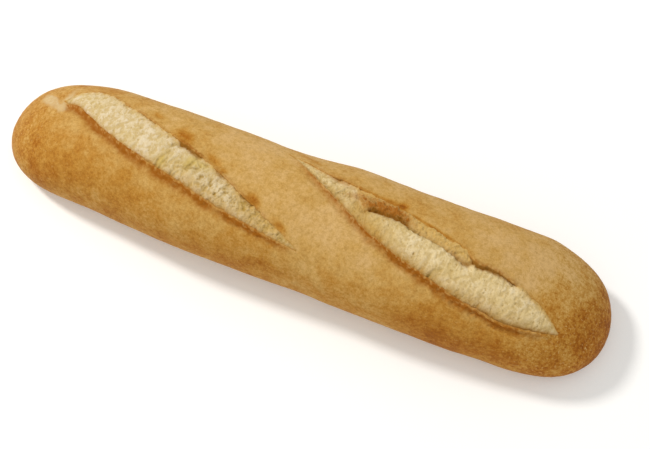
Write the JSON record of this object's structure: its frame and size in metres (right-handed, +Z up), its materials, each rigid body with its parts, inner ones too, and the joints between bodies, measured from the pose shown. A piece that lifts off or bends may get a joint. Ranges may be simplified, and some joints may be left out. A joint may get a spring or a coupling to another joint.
{
  "type": "baguette",
  "caption": "Short baguette: one browned loaf with rounded ends, a flat underside and slanting opened slashes in its back that show pale crumb.",
  "frame": {"origin": "middle of the flat underside, at the bottom centre of the bounding box", "axes": "+X along the loaf towards its wider, browner end; +Z up, out of the slashed back; +Y across, towards the side that both ends bend to"},
  "size_m": [0.28, 0.0626, 0.0477],
  "materials": {
    "crust": "baked crust, slightly glossy golden tan, with pale rough crumb in the slashes"
  },
  "bodies": {
    "root": {"loaf": "crust"}
  },
  "joints": []
}
